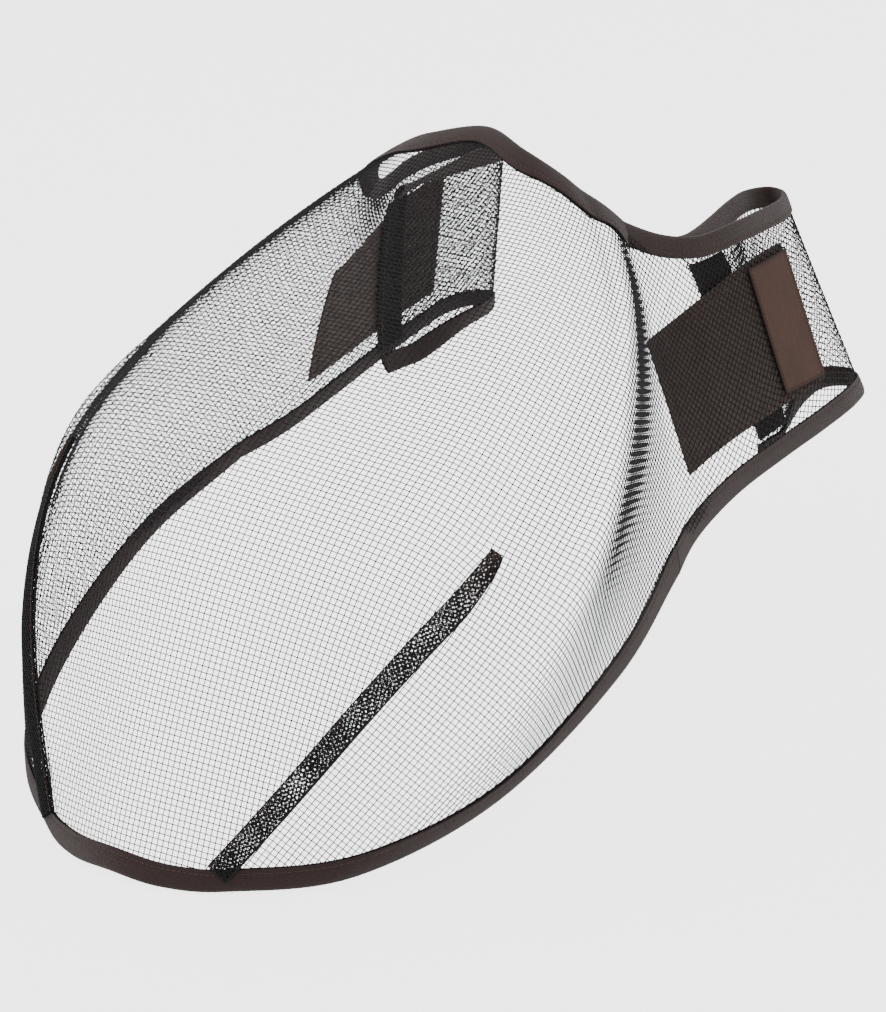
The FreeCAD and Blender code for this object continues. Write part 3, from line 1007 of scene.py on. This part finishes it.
def patch_grid(corners, count_s, count_t, height, rise=0.0):
    """Grid over a four-sided piece that lies on the outer strap, at a height on its inner side."""
    a = np.linspace(0.0, 1.0, count_s)[:, None]
    b = np.linspace(0.0, 1.0, count_t)[None]
    front, front_low, rear_low, rear = [np.array(c) for c in corners]
    s = (front[0] * (1 - b) + front_low[0] * b) * (1 - a) + (rear[0] * (1 - b) + rear_low[0] * b) * a
    t = (front[1] * (1 - b) + front_low[1] * b) * (1 - a) + (rear[1] * (1 - b) + rear_low[1] * b) * a
    t = t - rise * 4 * a * (1 - a) * (1 - b)
    return np.array([[outer_spot(s[i, j], t[i, j]) + outer_inward(s[i, j], t[i, j]) * height
                      for j in range(count_t)] for i in range(count_s)])


def border(grid):
    """Points round the rim of a grid."""
    return np.vstack([grid[:, 0], grid[-1, :], grid[::-1, -1], grid[0, ::-1]])


def fuzz(grid, normals, count, length, seed):
    """Short curved fibres standing on a grid."""
    chance = random.Random(seed)
    result = []
    rows, columns = grid.shape[:2]
    for _ in range(count):
        i, j = chance.randrange(rows - 1), chance.randrange(columns - 1)
        a, b = chance.random(), chance.random()
        spot = (grid[i, j] * (1 - a) + grid[i + 1, j] * a) * (1 - b)
        spot = spot + (grid[i, j + 1] * (1 - a) + grid[i + 1, j + 1] * a) * b
        up = normals[i, j]
        lean = np.array([chance.uniform(-1, 1) for _ in range(3)])
        lean = unit(lean - up * (lean @ up))
        tall = length * chance.uniform(0.5, 1.0)
        result.append(np.array([spot, spot + up * tall + lean * tall * 0.5,
                                spot + up * tall * 0.7 + lean * tall * 1.5]))
    return result


class FLYMASK_OT_loop_patches(MaskOperator, bpy.types.Operator):
    """Sew the brushed loop patches inside the straps"""
    bl_idname = "flymask.loop_patches"
    bl_label = "Loop patches"

    def make(self, context):
        material = loop_finish(colours().loop)
        thread = thread_finish(colours().thread)
        grid = patch_grid(PATCH, 49, 37, 1.25, PATCH_RISE)
        inward = grid_normals(grid)
        if inward[20, 20, 0] > 0:
            inward = -inward
        fibres = fuzz(grid + inward * 0.5, inward, 6500, 0.75, 3)
        inset = grid[2:-2, 2:-2] + inward[2:-2, 2:-2] * 0.75
        ring = border(inset)
        lift = border(inward[2:-2, 2:-2])
        outer_ring = dashes(ring - lift * 2.2, -lift, sizes().stitch_pitch)
        rows = dashes(ring, lift, sizes().stitch_pitch) + outer_ring
        for side in SIDES:
            flip = np.array((SIDES[side], 1.0, 1.0))
            title = side.capitalize() + " loop patch"
            pad = laid(title, grid * flip, material, 1.1, 0.4)
            finished(pad, "strap", side, "loop", f"loop_patch_{side}")
            nap = threads(title + " nap", [line * flip for line in fibres], 0.05, material)
            finished(nap, "strap", side, "loop")
            sewn = threads(title + " stitches", [line * flip for line in rows], 0.2, thread)
            finished(sewn, "strap", side, "thread")


class FLYMASK_OT_hook_strips(MaskOperator, bpy.types.Operator):
    """Sew the hook strips on the turned-in strap ends"""
    bl_idname = "flymask.hook_strips"
    bl_label = "Hook strips"

    def make(self, context):
        material = hook_finish(colours().hook)
        thread = thread_finish(colours().thread)
        grid = np.array([[hook_spot(k, t) for t in np.linspace(0.105, 0.895, 41)]
                         for k in np.linspace(-0.02, 0.97, 13)])
        toward = grid_normals(grid)
        if toward[6, 20, 0] < 0:
            toward = -toward
        base = grid + toward * 1.0
        hooks = []
        for i in range(1, 12):
            for j in range(1, 80):
                k = j // 2
                w = j / 2.0 - k
                spot = base[i, k] * (1 - w) + base[i, k + 1] * w
                up = toward[i, k]
                lean = unit(base[i + 1 if i % 2 else i - 1, k] - base[i, k])
                hooks.append(np.array([spot, spot + up * 0.95, spot + up * 1.2 + lean * 0.3,
                                       spot + up * 1.0 + lean * 0.6]))
        rows = []
        for n in (1, -2):
            rows += dashes(base[n] - toward[n] * 1.6, -toward[n], sizes().stitch_pitch)
        for side in SIDES:
            flip = np.array((SIDES[side], 1.0, 1.0))
            title = side.capitalize() + " hook strip"
            strip = laid(title, base * flip, material, 0.7, 0.2)
            finished(strip, "end", side, "hook", f"hook_strip_{side}")
            teeth = threads(title + " hooks", [line * flip for line in hooks], 0.1, material)
            finished(teeth, "end", side, "hook")
            sewn = threads(title + " stitches", [line * flip for line in rows], 0.2, thread)
            finished(sewn, "end", side, "thread")


class FLYMASK_OT_label(MaskOperator, bpy.types.Operator):
    """Sew the bare leather label on the left strap"""
    bl_idname = "flymask.label"
    bl_label = "Leather label"

    def make(self, context):
        thread = thread_finish(colours().thread)
        grid = patch_grid(LABEL, 21, 61, -1.45)
        outward = -grid_normals(grid)
        if outward[10, 30, 0] < 0:
            outward = -outward
        rows, columns = grid.shape[:2]
        long = distances(grid[:, columns // 2])[-1] * MM
        tall = distances(grid[rows // 2])[-1] * MM
        material = leather_finish(colours().leather, long, tall)
        slab = laid("Leather label", grid, material, 1.3, 0.45)
        finished(slab, "strap", "left", "leather", "leather_label")
        inset = grid[1:-1, 1:-1] + outward[1:-1, 1:-1] * 0.72
        ring = border(inset)
        lift = border(outward[1:-1, 1:-1])
        sewn = threads("Leather label stitches", dashes(ring, lift, 2.1), 0.26, thread)
        finished(sewn, "strap", "left", "thread", "label_stitching")


class FLYMASK_OT_cloth(MaskOperator, bpy.types.Operator):
    bl_idname = "flymask.cloth"
    bl_label = "Declare cloth"

    def make(self, context):
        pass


FLOOR_GLOW = 3.0          # evenly lit paper behind the mask


class FLYMASK_OT_stage(MaskOperator, bpy.types.Operator):
    """Set the pale floor, the soft light and the camera"""
    bl_idname = "flymask.stage"
    bl_label = "Stage"

    def make(self, context):
        scene = context.scene
        f = Finish("Pale studio floor")
        shade = f.mix(f.noise(2.0, 2.0), tone(colours().stage, 0.985), tone(colours().stage, 1.0))
        paper = f.node("ShaderNodeBsdfPrincipled", None, {"Base Color": shade, "Roughness": 0.9})
        lit = f.node("ShaderNodeBsdfPrincipled", None, {
            "Base Color": shade, "Roughness": 0.9, "Emission Color": (1.0, 1.0, 1.0, 1.0),
            "Emission Strength": FLOOR_GLOW})
        seen = f.node("ShaderNodeLightPath", None, None, "Is Camera Ray")
        f.node("ShaderNodeOutputMaterial", None, {
            "Surface": f.node("ShaderNodeMixShader", None, {0: seen, 1: paper, 2: lit})})
        material = f.material
        bm = bmesh.new()
        bmesh.ops.create_grid(bm, x_segments=8, y_segments=8, size=6.0)
        low = CAD_BOX[0][2] - 0.002
        bmesh.ops.translate(bm, verts=bm.verts[:], vec=(0.0, 0.0, low))
        mesh = bpy.data.meshes.new("Floor")
        bm.to_mesh(mesh)
        bm.free()
        floor = linked("Floor", mesh, material)
        world = bpy.data.worlds.new("Studio")
        world.use_nodes = True
        background = world.node_tree.nodes["Background"]
        background.inputs["Color"].default_value = (1.0, 1.0, 1.0, 1.0)
        background.inputs["Strength"].default_value = 0.55
        scene.world = world
        for name, place, size, power in (("Key light", (1.0, -1.4, 1.6), 1.6, 14.0),
                                         ("Fill light", (-1.5, -0.8, 1.2), 1.6, 7.0),
                                         ("Back light", (0.2, 1.7, 1.4), 1.4, 8.0)):
            lamp = bpy.data.lights.new(name, "AREA")
            lamp.size = size
            lamp.energy = power
            light = bpy.data.objects.new(name, lamp)
            scene.collection.objects.link(light)
            light.location = place
            aim = Vector((0.0, 0.08, 0.0)) - Vector(place)
            light.rotation_euler = aim.to_track_quat("-Z", "Y").to_euler()
        camera = bpy.data.cameras.new("Camera")
        camera.lens = 117.46
        camera.sensor_width = 36.0
        camera.sensor_fit = "AUTO"
        view = bpy.data.objects.new("Camera", camera)
        scene.collection.objects.link(view)
        view.location = (0.82862, -1.01977, 0.50205)
        azimuth, elevation = math.radians(36.218), math.radians(21.135)
        back = Vector((math.sin(azimuth) * math.cos(elevation), -math.cos(azimuth) * math.cos(elevation),
                       math.sin(elevation)))
        view.rotation_euler = back.to_track_quat("Z", "Y").to_euler()
        scene.camera = view


OPERATORS = (FLYMASK_OT_net, FLYMASK_OT_bindings, FLYMASK_OT_darts, FLYMASK_OT_loop_patches,
             FLYMASK_OT_hook_strips, FLYMASK_OT_label, FLYMASK_OT_cloth, FLYMASK_OT_stage)


class FLYMASK_PT_panel(bpy.types.Panel):
    bl_idname = "FLYMASK_PT_panel"
    bl_label = "Fly Mask"
    bl_space_type = "VIEW_3D"
    bl_region_type = "UI"
    bl_category = "Fly Mask"

    def draw(self, context):
        for group in (context.scene.mask_sizes, context.scene.mask_colours):
            for name in group.__annotations__:
                self.layout.prop(group, name)
        for operator in OPERATORS:
            self.layout.operator(operator.bl_idname)


CLASSES = (MaskSizes, MaskColours, *OPERATORS, FLYMASK_PT_panel)


def register():
    for item in CLASSES:
        bpy.utils.register_class(item)
    bpy.types.Scene.mask_sizes = bpy.props.PointerProperty(type=MaskSizes)
    bpy.types.Scene.mask_colours = bpy.props.PointerProperty(type=MaskColours)


def unregister():
    del bpy.types.Scene.mask_sizes
    del bpy.types.Scene.mask_colours
    for item in reversed(CLASSES):
        bpy.utils.unregister_class(item)


def main():
    register()
    for operator in OPERATORS:
        group, name = operator.bl_idname.split(".")
        getattr(getattr(bpy.ops, group), name)()


if __name__ == "__main__":
    main()
